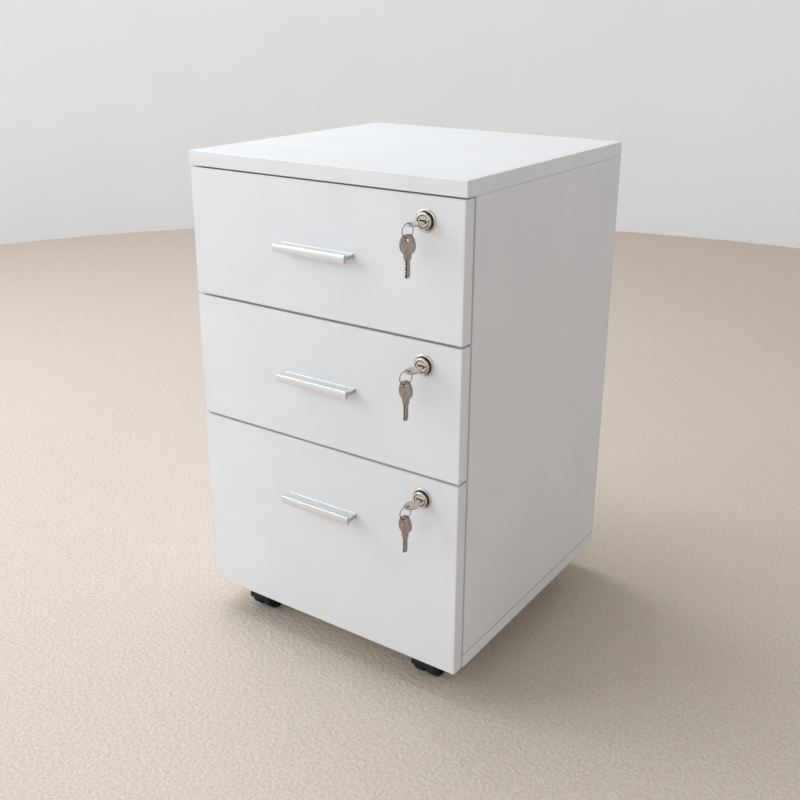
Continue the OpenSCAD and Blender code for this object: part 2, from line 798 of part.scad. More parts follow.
top_panel();
base_panel();
side_panel_left();
side_panel_right();
back_panel();
case_fittings();
slide_rails();
lock_strikes();
castor_plates();
wood_screws();
front(0);  // upper_front
front(1);  // middle_front
front(2);  // lower_front
box_sides(0);  // upper_box_sides
box_sides(1);  // middle_box_sides
box_sides(2);  // lower_box_sides
box_back(0);  // upper_box_back
box_back(1);  // middle_box_back
box_back(2);  // lower_box_back
box_bottom(0);  // upper_box_bottom
box_bottom(1);  // middle_box_bottom
box_bottom(2);  // lower_box_bottom
handle(0);  // upper_handle
handle(1);  // middle_handle
handle(2);  // lower_handle
fixings(0);  // upper_fixings
fixings(1);  // middle_fixings
fixings(2);  // lower_fixings
slide_runners(0);  // upper_slide_runners
slide_runners(1);  // middle_slide_runners
slide_runners(2);  // lower_slide_runners
rail_rollers(0);  // upper_rail_rollers
rail_rollers(1);  // middle_rail_rollers
rail_rollers(2);  // lower_rail_rollers
runner_rollers(0);  // upper_runner_rollers
runner_rollers(1);  // middle_runner_rollers
runner_rollers(2);  // lower_runner_rollers
lock_body(0);  // upper_lock_body
lock_body(1);  // middle_lock_body
lock_body(2);  // lower_lock_body
lock_plug(0);  // upper_lock_plug
lock_plug(1);  // middle_lock_plug
lock_plug(2);  // lower_lock_plug
key(0);  // upper_key
key(1);  // middle_key
key(2);  // lower_key
key_ring(0);  // upper_key_ring
key_ring(1);  // middle_key_ring
key_ring(2);  // lower_key_ring
spare_key(0);  // upper_spare_key
spare_key(1);  // middle_spare_key
spare_key(2);  // lower_spare_key
at_castor(-1, -1) castor_hood();  // castor_front_left_hood
at_castor(1, -1) castor_hood();  // castor_front_right_hood
at_castor(-1, 1) castor_hood();  // castor_back_left_hood
at_castor(1, 1) castor_hood();  // castor_back_right_hood
at_castor(-1, -1) castor_wheels();  // castor_front_left_wheels
at_castor(1, -1) castor_wheels();  // castor_front_right_wheels
at_castor(-1, 1) castor_wheels();  // castor_back_left_wheels
at_castor(1, 1) castor_wheels();  // castor_back_right_wheels
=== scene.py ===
"""Looks for a white board pedestal: three locking drawers in a case on four twin-wheel castors.

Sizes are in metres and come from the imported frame; what the frame can't give is named below.
"""

import json
import math

import bmesh
import bpy
from mathutils import Matrix, Quaternion, Vector


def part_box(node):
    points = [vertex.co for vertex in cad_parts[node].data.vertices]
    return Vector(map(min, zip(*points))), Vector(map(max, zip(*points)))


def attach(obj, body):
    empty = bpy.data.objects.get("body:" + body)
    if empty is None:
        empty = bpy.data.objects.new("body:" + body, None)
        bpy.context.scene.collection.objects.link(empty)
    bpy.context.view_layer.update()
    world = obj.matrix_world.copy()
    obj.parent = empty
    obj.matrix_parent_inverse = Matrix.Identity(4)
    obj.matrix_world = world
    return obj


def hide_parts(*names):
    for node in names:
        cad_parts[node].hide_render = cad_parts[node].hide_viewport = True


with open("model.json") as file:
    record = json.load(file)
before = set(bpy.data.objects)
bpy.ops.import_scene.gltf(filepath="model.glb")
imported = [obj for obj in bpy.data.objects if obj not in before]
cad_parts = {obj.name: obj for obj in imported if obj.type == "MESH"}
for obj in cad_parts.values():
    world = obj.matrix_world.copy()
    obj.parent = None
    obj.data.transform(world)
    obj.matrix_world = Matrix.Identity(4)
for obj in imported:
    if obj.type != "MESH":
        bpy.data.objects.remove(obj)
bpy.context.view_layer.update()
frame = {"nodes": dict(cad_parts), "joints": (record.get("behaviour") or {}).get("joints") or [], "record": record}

MM = 0.001
DRAWERS = ("upper", "middle", "lower")
JOINTS = {joint["name"]: joint for joint in frame["joints"]}
BODY_OF = {n: b for b, nodes in frame["record"]["behaviour"]["bodies"].items() for n in nodes}
SLOT_OF = {s["node"]: s["material_slot"] for s in frame["record"]["subparts"]}


def centre(node):
    low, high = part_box(node)
    return (low + high) / 2


def size(node):
    low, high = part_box(node)
    return high - low


# ---- Materials ----

NOISE_LOW, NOISE_HIGH = 0.3, 0.7    # most of a noise texture's values lie between these


class Finish:
    """A Principled material and short ways to add nodes to it. Scales are in waves per metre."""

    def __init__(self, name, **sockets):
        self.material = bpy.data.materials.new(name)
        self.material.use_nodes = True
        self.tree = self.material.node_tree
        self.shader = self.tree.nodes["Principled BSDF"]
        for socket, value in sockets.items():
            self.shader.inputs[socket.replace("_", " ")].default_value = value
        self.place = self.add("TexCoord").outputs["Object"]

    def add(self, kind, **inputs):
        node = self.tree.nodes.new("ShaderNode" + kind)
        for name, value in inputs.items():
            socket = node.inputs[name.replace("_", " ")]
            if isinstance(value, bpy.types.NodeSocket):
                self.tree.links.new(value, socket)
            else:
                socket.default_value = value
        return node

    def stretched(self, scale):
        return self.add("Mapping", Vector=self.place, Scale=scale).outputs["Vector"]

    def noise(self, scale, detail=3.0, place=None, rough=0.5):
        where = place or self.place
        node = self.add("TexNoise", Vector=where, Scale=scale, Detail=detail, Roughness=rough)
        return node.outputs["Fac"]

    def cells(self, scale):
        return self.add("TexVoronoi", Vector=self.place, Scale=scale).outputs["Distance"]

    def tint(self, factor, dark, light, low=NOISE_LOW, high=NOISE_HIGH):
        """Runs the base colour from dark to light as the factor goes from low to high."""
        ramp = self.add("ValToRGB", Fac=factor)
        ramp.color_ramp.elements[0].position = low
        ramp.color_ramp.elements[0].color = (*dark, 1)
        ramp.color_ramp.elements[1].position = high
        ramp.color_ramp.elements[1].color = (*light, 1)
        self.tree.links.new(ramp.outputs["Color"], self.shader.inputs["Base Color"])

    def roughen(self, factor, low, high):
        spread = self.add(
            "MapRange", Value=factor,
            From_Min=NOISE_LOW, From_Max=NOISE_HIGH, To_Min=low, To_Max=high,
        )
        self.tree.links.new(spread.outputs["Result"], self.shader.inputs["Roughness"])

    def bump(self, height, strength, depth):
        """Adds a layer of bumps on top of those that are there."""
        bump = self.add("Bump", Height=height, Strength=strength, Distance=depth)
        last = self.shader.inputs["Normal"]
        if last.links:
            self.tree.links.new(last.links[0].from_socket, bump.inputs["Normal"])
        self.tree.links.new(bump.outputs["Normal"], last)


def make_melamine():
    """Paper-faced board: a faint pearl grain under a satin resin film."""
    f = Finish("melamine_face", Specular_IOR_Level=0.45)
    f.tint(f.noise(9), (0.795, 0.808, 0.832), (0.835, 0.846, 0.866))
    f.roughen(f.noise(60, 4), 0.36, 0.46)
    f.bump(f.cells(1900), 0.10, 0.00006)
    f.bump(f.noise(420, 2), 0.05, 0.0001)
    return f.material


def make_band():
    """Plastic edge banding: smoother and a little brighter than the face."""
    f = Finish("edge_band", Specular_IOR_Level=0.5)
    f.tint(f.noise(14), (0.80, 0.813, 0.836), (0.84, 0.851, 0.870))
    f.roughen(f.noise(90, 3), 0.28, 0.38)
    f.bump(f.noise(900, 2), 0.05, 0.00005)
    return f.material


def make_glue_and_shade():
    """The hairline between the banding and the laminate: glue, with painted shade for the gap's shadow. Boards
    also take it as painted joint shade on an upper rounding.
    """
    f = Finish("glue_and_shade_line", Specular_IOR_Level=0.3)
    f.tint(f.noise(300, 4), (0.42, 0.40, 0.375), (0.53, 0.51, 0.485))
    f.roughen(f.noise(200), 0.5, 0.7)
    return f.material


def make_chipboard():
    """The board's pressed core, seen only inside holes and grooves."""
    f = Finish("chipboard_core", Specular_IOR_Level=0.2)
    f.tint(f.noise(700, 5, f.stretched((1, 0.4, 1))), (0.42, 0.30, 0.18), (0.70, 0.57, 0.40))
    f.roughen(f.noise(500), 0.75, 0.95)
    f.bump(f.noise(800, 5), 0.6, 0.0003)
    return f.material


def make_hardboard():
    f = Finish("white_hardboard", Specular_IOR_Level=0.4)
    f.tint(f.noise(30, 5), (0.74, 0.74, 0.735), (0.79, 0.79, 0.785))
    f.roughen(f.noise(200), 0.42, 0.55)
    f.bump(f.noise(650, 4), 0.15, 0.0001)
    return f.material


def make_enamel():
    """Powder coat on the slides: a fine orange peel."""
    f = Finish("slide_enamel", Specular_IOR_Level=0.5)
    f.tint(f.noise(40), (0.76, 0.76, 0.745), (0.80, 0.80, 0.785))
    f.roughen(f.noise(150), 0.30, 0.42)
    f.bump(f.noise(1100, 1), 0.25, 0.00008)
    return f.material


def make_nylon():
    f = Finish("roller_nylon", Subsurface_Weight=0.15, Subsurface_Scale=0.002)
    f.tint(f.noise(120), (0.76, 0.74, 0.67), (0.83, 0.81, 0.75))
    f.roughen(f.noise(300), 0.38, 0.52)
    f.bump(f.noise(900), 0.12, 0.00006)
    return f.material


def make_aluminium(name, streaks, dark, light, low, high):
    """Satin anodised aluminium. streaks is its grain's scale along X, Y and Z."""
    f = Finish(name, Metallic=0.55)
    grain = f.noise(1, 4, f.stretched(streaks), 0.65)
    f.tint(grain, dark, light)
    f.roughen(grain, low, high)
    f.bump(grain, 0.03, 0.00002)
    return f.material


def make_nickel(name, dark, light, low, high):
    """Nickel plate on the locks, with handling marks."""
    f = Finish(name, Metallic=1.0)
    f.tint(f.noise(160, 4), dark, light)
    f.roughen(f.noise(700, 5, rough=0.7), low, high)
    f.bump(f.noise(2600, 2), 0.05, 0.00002)
    return f.material


def make_key_metal(name, dark, light, low, high):
    """Nickel silver, brushed along the key; the hanging spares get a darker copy, painted shade for their darker
    reflections.
    """
    f = Finish(name, Metallic=1.0)
    brushed = f.noise(1, 4, f.stretched((5200, 380, 5200)), 0.6)
    f.tint(f.noise(240, 3), dark, light)
    f.roughen(brushed, low, high)
    f.bump(brushed, 0.14, 0.00003)
    return f.material


def make_ring_steel():
    f = Finish("ring_steel", Metallic=1.0)
    f.tint(f.noise(500, 3), (0.13, 0.13, 0.135), (0.24, 0.24, 0.245))
    f.roughen(f.noise(1500), 0.14, 0.26)
    return f.material


def make_zinc():
    """Blue-white zinc plate with a faint spangle."""
    f = Finish("zinc_plate", Metallic=1.0)
    f.tint(f.cells(900), (0.60, 0.61, 0.62), (0.74, 0.74, 0.73), 0.1, 0.8)
    f.roughen(f.noise(600, 4), 0.28, 0.44)
    f.bump(f.noise(1400), 0.08, 0.00004)
    return f.material


def make_castor_plastic():
    f = Finish("castor_plastic", Specular_IOR_Level=0.35)
    f.tint(f.noise(50, 4), (0.008, 0.008, 0.009), (0.016, 0.016, 0.017))
    f.roughen(f.noise(220), 0.38, 0.52)
    f.bump(f.cells(1500), 0.22, 0.00008)
    return f.material


def make_tread():
    """Wheel rims: black nylon, greyed by the floor."""
    f = Finish("wheel_tread", Specular_IOR_Level=0.25)
    f.tint(f.noise(90, 5, rough=0.65), (0.010, 0.010, 0.010), (0.034, 0.032, 0.030), 0.35, 0.75)
    f.roughen(f.noise(180, 4), 0.48, 0.72)
    f.bump(f.noise(700, 4), 0.20, 0.0001)
    return f.material


# Painted shade: near-black metal inside the keyways, the locks' grooves and bores, and the keys' groove floors
def make_recess_shade():
    f = Finish("painted_recess_shade", Metallic=0.6, Specular_IOR_Level=0.2)
    f.tint(f.noise(900), (0.010, 0.009, 0.008), (0.030, 0.027, 0.024))
    f.roughen(f.noise(900), 0.55, 0.8)
    return f.material


MELAMINE, BAND, GLUE_AND_SHADE, CORE = make_melamine(), make_band(), make_glue_and_shade(), make_chipboard()
HARDBOARD, ENAMEL, NYLON = make_hardboard(), make_enamel(), make_nylon()
DRAWN = make_aluminium(
    "anodised_drawn", (6, 3800, 3800), (0.715, 0.72, 0.727), (0.80, 0.806, 0.813), 0.30, 0.42,
)
# The sawn ends: grain across the bar, and a darker tone that is painted shade
SAWN_SHADED = make_aluminium(
    "anodised_sawn_shaded", (3000, 400, 2600), (0.44, 0.435, 0.43), (0.58, 0.575, 0.57), 0.36, 0.5,
)
NICKEL = make_nickel("bright_nickel", (0.58, 0.54, 0.49), (0.74, 0.70, 0.65), 0.10, 0.20)
# Painted shade and dark reflection: a darker copy of the nickel for the lock head's side
NICKEL_SHADED_SIDE = make_nickel("nickel_painted_shade", (0.20, 0.18, 0.16), (0.32, 0.295, 0.265), 0.20, 0.32)
USED_KEY = make_key_metal("used_key", (0.50, 0.46, 0.42), (0.64, 0.60, 0.56), 0.18, 0.32)
# Painted shade: a darker copy of the key metal for the hanging spares
SHADED_SPARE_KEY = make_key_metal("spare_key", (0.28, 0.25, 0.225), (0.38, 0.345, 0.31), 0.22, 0.36)
RING_STEEL, ZINC = make_ring_steel(), make_zinc()
CASTOR, TREAD, RECESS_SHADE = make_castor_plastic(), make_tread(), make_recess_shade()
# The material of each piece that is a rounded copy of its solid, by the solid's slot
BY_SLOT = {
    "hardboard": HARDBOARD, "slide_enamel": ENAMEL, "nylon": NYLON, "zinc": ZINC,
    "castor_plastic": CASTOR,
}


# ---- Mesh helpers ----

WELD = 1e-6               # vertices closer than this are one
FLAT_ANGLE = 0.6          # faces that meet at less than this, in degrees, are one


def finish_piece(bm, name, node, materials, place=None, smooth_angle=50):
    """Turns a bmesh into a shown piece that stands for a CAD node and rides on its body.

    Edges sharper than smooth_angle, in degrees, stay sharp.
    """
    mesh = bpy.data.meshes.new(name)
    bmesh.ops.recalc_face_normals(bm, faces=bm.faces)
    bm.to_mesh(mesh)
    bm.free()
    for material in materials:
        mesh.materials.append(material)
    mesh.polygons.foreach_set("use_smooth", [True] * len(mesh.polygons))
    mesh.set_sharp_from_angle(angle=math.radians(smooth_angle))
    piece = bpy.data.objects.new(name, mesh)
    bpy.context.scene.collection.objects.link(piece)
    if place is not None:
        piece.matrix_world = place
    weighted = piece.modifiers.new("flat faces stay flat", "WEIGHTED_NORMAL")
    weighted.keep_sharp = True
    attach(piece, BODY_OF[node])
    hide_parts(node)
    return piece


def cad_copy(node):
    """A welded copy of a CAD node's mesh, its flat faces merged."""
    bm = bmesh.new()
    bm.from_mesh(frame["nodes"][node].data)
    bmesh.ops.remove_doubles(bm, verts=bm.verts, dist=WELD)
    bmesh.ops.dissolve_limit(
        bm, angle_limit=math.radians(FLAT_ANGLE), verts=bm.verts, edges=bm.edges,
    )
    return bm


def islands(bm):
    """The vertices of each connected solid, as sets, in the mesh's own order."""
    seen = set()
    for first in bm.verts:
        if first in seen:
            continue
        island, reach = {first}, [first]
        while reach:
            vert = reach.pop()
            for edge in vert.link_edges:
                other = edge.other_vert(vert)
                if other not in island:
                    island.add(other)
                    reach.append(other)
        seen |= island
        yield island


def faces_of(bm, island):
    return [face for face in bm.faces if face.verts[0] in island]


def limits(verts):
    """The low and high end of the vertices' box on each axis."""
    return [(min(v.co[i] for v in verts), max(v.co[i] for v in verts)) for i in range(3)]


def box_sides_at(points, bounds, slack):
    """For each axis, whether all the points lie on one of the box's two sides across it."""
    return [
        any(all(abs(p[i] - side) < slack for p in points) for side in bounds[i]) for i in range(3)
    ]


def round_off(bm, edges, width, segments):
    bmesh.ops.bevel(
        bm, geom=edges, offset=width, offset_type="OFFSET", segments=segments, profile=0.5,
        affect="EDGES", clamp_overlap=True,
    )


# ---- Boards ----

BAND_T = 1.1 * MM         # thickness of the edge banding, seen as a rim on a board's face
GLUE_AND_SHADE_T = 0.22 * MM        # the hairline between the banding and the laminate: glue and painted shade
ON_SIDE = 1e-5            # how far off a side of the solid's box a vertex still counts as on it
ON_ROUNDING = 1.01        # the same for a rounding, as a share of its radius
SQUARE_ON = 0.999         # the part of a normal along an axis from which a face is square to it
JOINT_SLOPE = (0.1, 0.98)   # the upward part of a normal on an upper rounding, where painted joint shade goes
BAND_MAT, CORE_MAT, GLUE_AND_SHADE_MAT = 1, 2, 3    # slots of a board's materials; its faces keep slot 0


def board_edges(bm, island):
    """The edges where two sides of the solid's box meet."""
    bounds = limits(island)
    return [
        e for e in bm.edges
        if e.verts[0] in island
        and sum(box_sides_at([v.co for v in e.verts], bounds, ON_SIDE)) >= 2
    ]


def dress_board(node, radius=0.8 * MM, banded=True, painted_joint_shade=False):
    """A board: rounded edges, banded rims with a hairline of glue and painted shade, laminate faces, raw core in
    its holes.

    painted_joint_shade paints shade, in the hairline's colour, on the upper rounding, where another board stands
    on this one.
    """
    bm = cad_copy(node)
    for island in list(islands(bm)):
        round_off(bm, board_edges(bm, island), radius, 3)
    near = radius * ON_ROUNDING
    flats = []
    for island in islands(bm):
        bounds = limits(island)
        spans = [high - low for low, high in bounds]
        thin = spans.index(min(spans))
        for face in faces_of(bm, island):
            touches = box_sides_at([face.calc_center_median()], bounds, near)
            corners = box_sides_at([v.co for v in face.verts], bounds, near)
            if abs(face.normal[thin]) > SQUARE_ON and corners[thin]:
                flats.append(face)
            elif any(corners[i] for i in range(3) if i != thin) or sum(touches) >= 2:
                face.material_index = BAND_MAT
            else:
                face.material_index = CORE_MAT
            # painted shade in the joint: upward faces of the upper rounding take the hairline's darker colour
            if painted_joint_shade and JOINT_SLOPE[0] < face.normal.z < JOINT_SLOPE[1]:
                face.material_index = GLUE_AND_SHADE_MAT
    if banded:
        # the inner rim is the hairline of glue and painted shade
        for width, material in ((BAND_T - radius, BAND_MAT), (GLUE_AND_SHADE_T, GLUE_AND_SHADE_MAT)):
            rim = bmesh.ops.inset_region(bm, faces=flats, thickness=width, use_even_offset=True)
            for face in rim["faces"]:
                face.material_index = material
    return finish_piece(bm, node + "_board", node, (MELAMINE, BAND, CORE, GLUE_AND_SHADE))


# ---- Rounded copies of the solids, and the recesses in screw heads ----

SHARP_ANGLE = 40          # edges sharper than this, in degrees, are rounded off
ROUND_SIDES = 12          # a round flat has at least this many edges
ROUND_SHARE = 0.95        # and at least this share of the area of a circle with its rim's length
HEAD_LEAST_R = 2.2 * MM   # round flats smaller than this are screw tips
SAME_SIZE = 0.97          # flats of at least this share of the widest one's radius are heads too
# The cross, as shares of the head's radius; it tapers to CROSS_TAPER of its size at its floor
CROSS_ARM, CROSS_HALF, CROSS_DEPTH, CROSS_TAPER = 0.62, 0.15, 0.35, 0.7


def soften(node, width, segments=2, recessed=False):
    """A copy of a CAD node, its sharp edges rounded off. recessed sinks crosses into its heads."""
    bm = cad_copy(node)
    sharp = [
        e for e in bm.edges
        if len(e.link_faces) == 2 and e.calc_face_angle(0) > math.radians(SHARP_ANGLE)
    ]
    round_off(bm, sharp, width, segments)
    if recessed:
        for head in round_heads(bm):
            sink_cross(bm, head)
    return finish_piece(bm, node + "_body", node, (BY_SLOT[SLOT_OF[node]],))


def round_heads(bm):
    """Each solid's widest round flat face, where a driver goes in."""
    heads = []
    for island in islands(bm):
        flats = {}
        for face in faces_of(bm, island):
            area, rim = face.calc_area(), face.calc_perimeter()
            is_round = 4 * math.pi * area > ROUND_SHARE * rim ** 2
            if len(face.verts) >= ROUND_SIDES and is_round:
                flats[face] = math.sqrt(area / math.pi)
        widest = max(flats.values(), default=0)
        if widest > HEAD_LEAST_R:
            heads += [face for face, radius in flats.items() if radius > SAME_SIZE * widest]
    return heads


def sink_cross(bm, head):
    """Sinks a tapered cross into a round flat face."""
    radius = math.sqrt(head.calc_area() / math.pi)
    place = head.normal.to_track_quat("Z", "Y").to_matrix().to_4x4()
    place.translation = head.calc_center_median()
    arm, half = CROSS_ARM * radius, CROSS_HALF * radius
    corner = [(arm, -half), (arm, half), (half, half)]
    cross = []
    for _ in range(4):
        cross += corner
        corner = [(-y, x) for x, y in corner]
    top = [bm.verts.new(place @ Vector((x, y, 0))) for x, y in cross]
    floor = [
        bm.verts.new(place @ Vector((CROSS_TAPER * x, CROSS_TAPER * y, -CROSS_DEPTH * radius)))
        for x, y in cross
    ]
    rim = list(head.edges) + [bm.edges.new((a, b)) for a, b in zip(top, top[1:] + top[:1])]
    bm.faces.remove(head)
    bmesh.ops.triangle_fill(bm, use_beauty=True, use_dissolve=False, edges=rim)
    wall(bm, top, floor)
    bm.faces.new(floor)


# ---- Outlines, and forms made from them ----


def arc(cx, cz, radius, start, end, steps, squash=1.0):
    """Points from angle start to angle end, in degrees, both ends included.

    squash makes it an ellipse, by scaling the second axis.
    """
    angles = [math.radians(start + (end - start) * i / steps) for i in range(steps + 1)]
    return [
        (cx + radius * math.cos(angle), cz + radius * squash * math.sin(angle)) for angle in angles
    ]


def lathe(bm, profile, turns=64, to_space=Matrix.Identity(4), material=0, closed=False, marks=()):
    """Turns (radius, height) points about Z. A radius of 0 closes the form at that end.

    closed joins the last point to the first. marks gives single steps of the profile another
    material, as a dict.
    """
    rings = []
    for radius, height in profile:
        circle = [(0, 0)] if radius == 0 else ring_points(radius, turns)
        rings.append([bm.verts.new(to_space @ Vector((x, y, height))) for x, y in circle])
    pairs = list(zip(rings, rings[1:]))
    if closed:
        pairs.append((rings[-1], rings[0]))
    for step, (a, b) in enumerate(pairs):
        for i in range(turns):
            j = (i + 1) % turns
            corners = [a[i % len(a)], a[j % len(a)], b[j % len(b)], b[i % len(b)]]
            face = bm.faces.new(list(dict.fromkeys(corners)))
            face.material_index = dict(marks).get(step, material)


def ring_points(radius, count=64):
    return [
        (radius * math.cos(2 * math.pi * i / count), radius * math.sin(2 * math.pi * i / count))
        for i in range(count)
    ]


def slot_points(width, height, corner):
    """A rectangle with round corners, anticlockwise."""
    points = []
    for sx, sy, start in ((1, 1, 0), (-1, 1, 90), (-1, -1, 180), (1, -1, 270)):
        x, y = sx * (width / 2 - corner), sy * (height / 2 - corner)
        points += arc(x, y, corner, start, start + 90, 4)
    return points


def shrunk(points, by):
    """An anticlockwise outline moved inwards."""
    moved = []
    for i, (x, y) in enumerate(points):
        (px, py), (nx, ny) = points[i - 1], points[(i + 1) % len(points)]
        tx, ty = nx - px, ny - py
        length = math.hypot(tx, ty) or 1.0
        moved.append((x - ty / length * by, y + tx / length * by))
    return moved


def loop(bm, points, height):
    """A closed ring of vertices at one height, and its edges."""
    verts = [bm.verts.new((x, y, height)) for x, y in points]
    return verts, [bm.edges.new((a, b)) for a, b in zip(verts, verts[1:] + verts[:1])]


def wall(bm, a, b, material=0):
    """Faces between two rings of vertices."""
    for i in range(len(a)):
        j = (i + 1) % len(a)
        bm.faces.new((a[i], a[j], b[j], b[i])).material_index = material


# ---- Handles ----

LIP_H, LIP_T = 10.2 * MM, 3.2 * MM
WEB_T, WEB_DROP = 4.4 * MM, 2.2 * MM      # the drops are from the lip's top
FOOT_H, FOOT_DROP = 6.8 * MM, 1.0 * MM
FOOT_EDGE = 0.8 * MM      # the foot's thickness at its rim
FLARE = 3.6 * MM          # how far the foot flares out along the web
TROUGH = 0.9 * MM         # the fillet where the web meets the lip
CROWN = 0.7 * MM          # how far the lip's front bulges between its rounded edges
CROWN_TILT = 18.35        # the slope of the bulge where it meets them, in degrees
CROWN_STEPS = 6           # from its middle to either end
BROKEN_EDGE = 0.22 * MM   # the rounding of the sawn ends' rims
SAWN_FROM = 0.3           # the part of a normal along X from which a face belongs to an end


def handle_outline(reach, top):
    """The bar's section as (distance from the front, height), from the foot's lower corner."""
    web_top = top - WEB_DROP
    web_low = web_top - WEB_T
    foot_top = top - FOOT_DROP
    foot_low = foot_top - FOOT_H
    back = reach - LIP_T
    tilt = math.radians(CROWN_TILT)
    nose = (LIP_T - CROWN) / (1 + math.cos(tilt))
    half = LIP_H / 2 - nose * (1 - math.sin(tilt))
    crown = [
        (reach - CROWN * (k / CROWN_STEPS) ** 2, top - LIP_H / 2 + half * k / CROWN_STEPS)
        for k in range(1 - CROWN_STEPS, CROWN_STEPS)
    ]
    low_fillet, top_fillet = TROUGH, WEB_DROP - nose
    return (
        [(0, foot_low)]
        + arc(FOOT_EDGE + FLARE, foot_low, FLARE, 180, 90, 8, (web_low - foot_low) / FLARE)
        + arc(back - low_fillet, web_low - low_fillet, low_fillet, 90, 0, 5)
        + arc(back + nose, top - LIP_H + nose, nose, 180, 360 - CROWN_TILT, 13)
        + crown
        + arc(back + nose, top - nose, nose, CROWN_TILT, 180, 13)
        + arc(back - top_fillet, web_top + top_fillet, top_fillet, 0, -90, 4)[1:]
        + arc(FOOT_EDGE + FLARE, foot_top, FLARE, 270, 180, 8, (foot_top - web_top) / FLARE)
        + [(0, foot_top)]
    )


def make_handle(drawer):
    """An extruded bar with sawn, slightly broken ends, their darker tone painted shade."""
    node = drawer + "_handle"
    low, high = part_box(node)
    foot = high.y
    outline = handle_outline(foot - low.y, high.z)
    bm = bmesh.new()
    ends = [[bm.verts.new((x, foot - d, z)) for d, z in outline] for x in (low.x, high.x)]
    caps = [bm.faces.new(ends[0]), bm.faces.new(ends[1])]
    wall(bm, *ends)
    round_off(bm, [e for cap in caps for e in cap.edges], BROKEN_EDGE, 2)
    bmesh.ops.dissolve_degenerate(bm, dist=2 * WELD, edges=bm.edges)
    for face in bm.faces:
        # the ends take the darker metal, painted shade
        face.material_index = 1 if abs(face.normal.x) > SAWN_FROM else 0
    return finish_piece(bm, node + "_bar", node, (DRAWN, SAWN_SHADED))


# ---- Locks ----

HEAD_R, BARREL_R, BORE_R = 9.7 * MM, 9.3 * MM, 6.85 * MM
FLANGE_T = 1.8 * MM
THREAD_PITCH, THREAD_DEPTH = 1.0 * MM, 0.45 * MM
THREAD_ROWS = 6                         # rows of the mesh in one pitch
THREAD_START, THREAD_END = 1 * MM, 0.4 * MM   # behind the front, and before the barrel's end
PLUG_R, PLUG_BEVEL = 6.7 * MM, 0.25 * MM
MOUTH, MOUTH_CORNER = (9.2 * MM, 3.8 * MM), 1.1 * MM    # the countersunk mouth, wide by high
KEYWAY, KEYWAY_CORNER = (6.0 * MM, 1.9 * MM), 0.4 * MM
MOUTH_DEPTH, KEYWAY_DEPTH = 0.7 * MM, 9 * MM
CAM_GAP = 0.2 * MM                      # between the barrel's end and the cam
CAM_W, CAM_T, EYE_R = 12 * MM, 2 * MM, 8 * MM
CAM_TIP_R, CAM_EDGE = 2.5 * MM, 0.3 * MM
SCREW_R, SCREW_H = 4 * MM, 2.5 * MM
SUNK = 0.01 * MM                        # how far the screw's head stands in the cam
LOCK_SMOOTH = 32                        # degrees
ALONG_Y = Matrix.Rotation(math.radians(-90), 4, "X")    # local +Z points into the drawer, -Y up


def lock_place(drawer, y):
    """The frame of a turned lock part whose height 0 is at this y."""
    middle = centre(drawer + "_lock_body")
    return Matrix.Translation((middle.x, y, middle.z)) @ ALONG_Y


def add_thread(bm, start, end):
    """A helical ridge on the barrel, made on a fine grid of angle and depth."""
    turns = 64
    rows = round((end - start) / (THREAD_PITCH / THREAD_ROWS))
    grid = []
    for k in range(rows + 1):
        depth = start + (end - start) * k / rows
        ring = []
        for i in range(turns):
            phase = (depth / THREAD_PITCH - i / turns) % 1.0
            radius = BARREL_R - THREAD_DEPTH * abs(2 * phase - 1)
            angle = 2 * math.pi * i / turns
            ring.append(bm.verts.new((radius * math.cos(angle), radius * math.sin(angle), depth)))
        grid.append(ring)
    inner = [
        [bm.verts.new((x, y, depth)) for x, y in ring_points(BARREL_R - 1.5 * THREAD_DEPTH, turns)]
        for depth in (start, end)
    ]
    closed = [inner[0], *grid, inner[1]]
    for a, b in zip(closed, closed[1:] + closed[:1]):
        wall(bm, a, b)


def make_lock_body(drawer):
    """The housing: a rounded flange, a groove, the raised head and the threaded barrel, with painted shade in the
    groove and the bore and a darker nickel painted on the head's side.
    """
    node = drawer + "_lock_body"
    low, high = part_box(node)
    front_low, front_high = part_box(drawer + "_front")
    flange_r = (high.x - low.x) / 2
    reach, depth = front_low.y - low.y, high.y - front_low.y
    root_r = BARREL_R - THREAD_DEPTH
    # turned marks the head's side, painted in a darker nickel as shade and dark reflection; dark marks painted
    # shade in near black
    plate, turned, dark = range(3)
    # By step, all painted shade: the groove's outer wall and floor, the head's side in darker nickel, and the bore
    # with its mouth
    marks = {8: dark, 9: dark, 10: turned, 16: dark, 17: dark, 18: dark}
    bm = bmesh.new()
    lathe(bm, [
        (root_r, 0),
        (flange_r - 0.1 * MM, 0),
        (flange_r, -0.15 * MM),
        (flange_r, -0.6 * MM),
        (flange_r - 0.12 * MM, -1.0 * MM),
        (flange_r - 0.45 * MM, -1.4 * MM),
        (flange_r - 0.95 * MM, -1.68 * MM),
        (flange_r - 1.5 * MM, -FLANGE_T),
        (HEAD_R + 0.9 * MM, -FLANGE_T),
        (HEAD_R + 0.7 * MM, -FLANGE_T + 0.7 * MM),
        (HEAD_R, -FLANGE_T + 0.7 * MM),
        (HEAD_R, -reach + 1.5 * MM),
        (HEAD_R - 0.1 * MM, -reach + 0.95 * MM),
        (HEAD_R - 0.4 * MM, -reach + 0.45 * MM),
        (HEAD_R - 0.85 * MM, -reach + 0.12 * MM),
        (HEAD_R - 1.4 * MM, -reach),
        (BORE_R + 0.55 * MM, -reach),
        (BORE_R + 0.3 * MM, -reach + 0.1 * MM),
        (BORE_R, -reach + 0.5 * MM),
        (BORE_R, depth),
        (root_r, depth),
    ], 96, material=plate, closed=True, marks=marks)
    add_thread(bm, front_high.y - front_low.y - THREAD_START, depth - THREAD_END)
    materials, place = (NICKEL, NICKEL_SHADED_SIDE, RECESS_SHADE), lock_place(drawer, front_low.y)
    return finish_piece(bm, node + "_housing", node, materials, place, LOCK_SMOOTH)


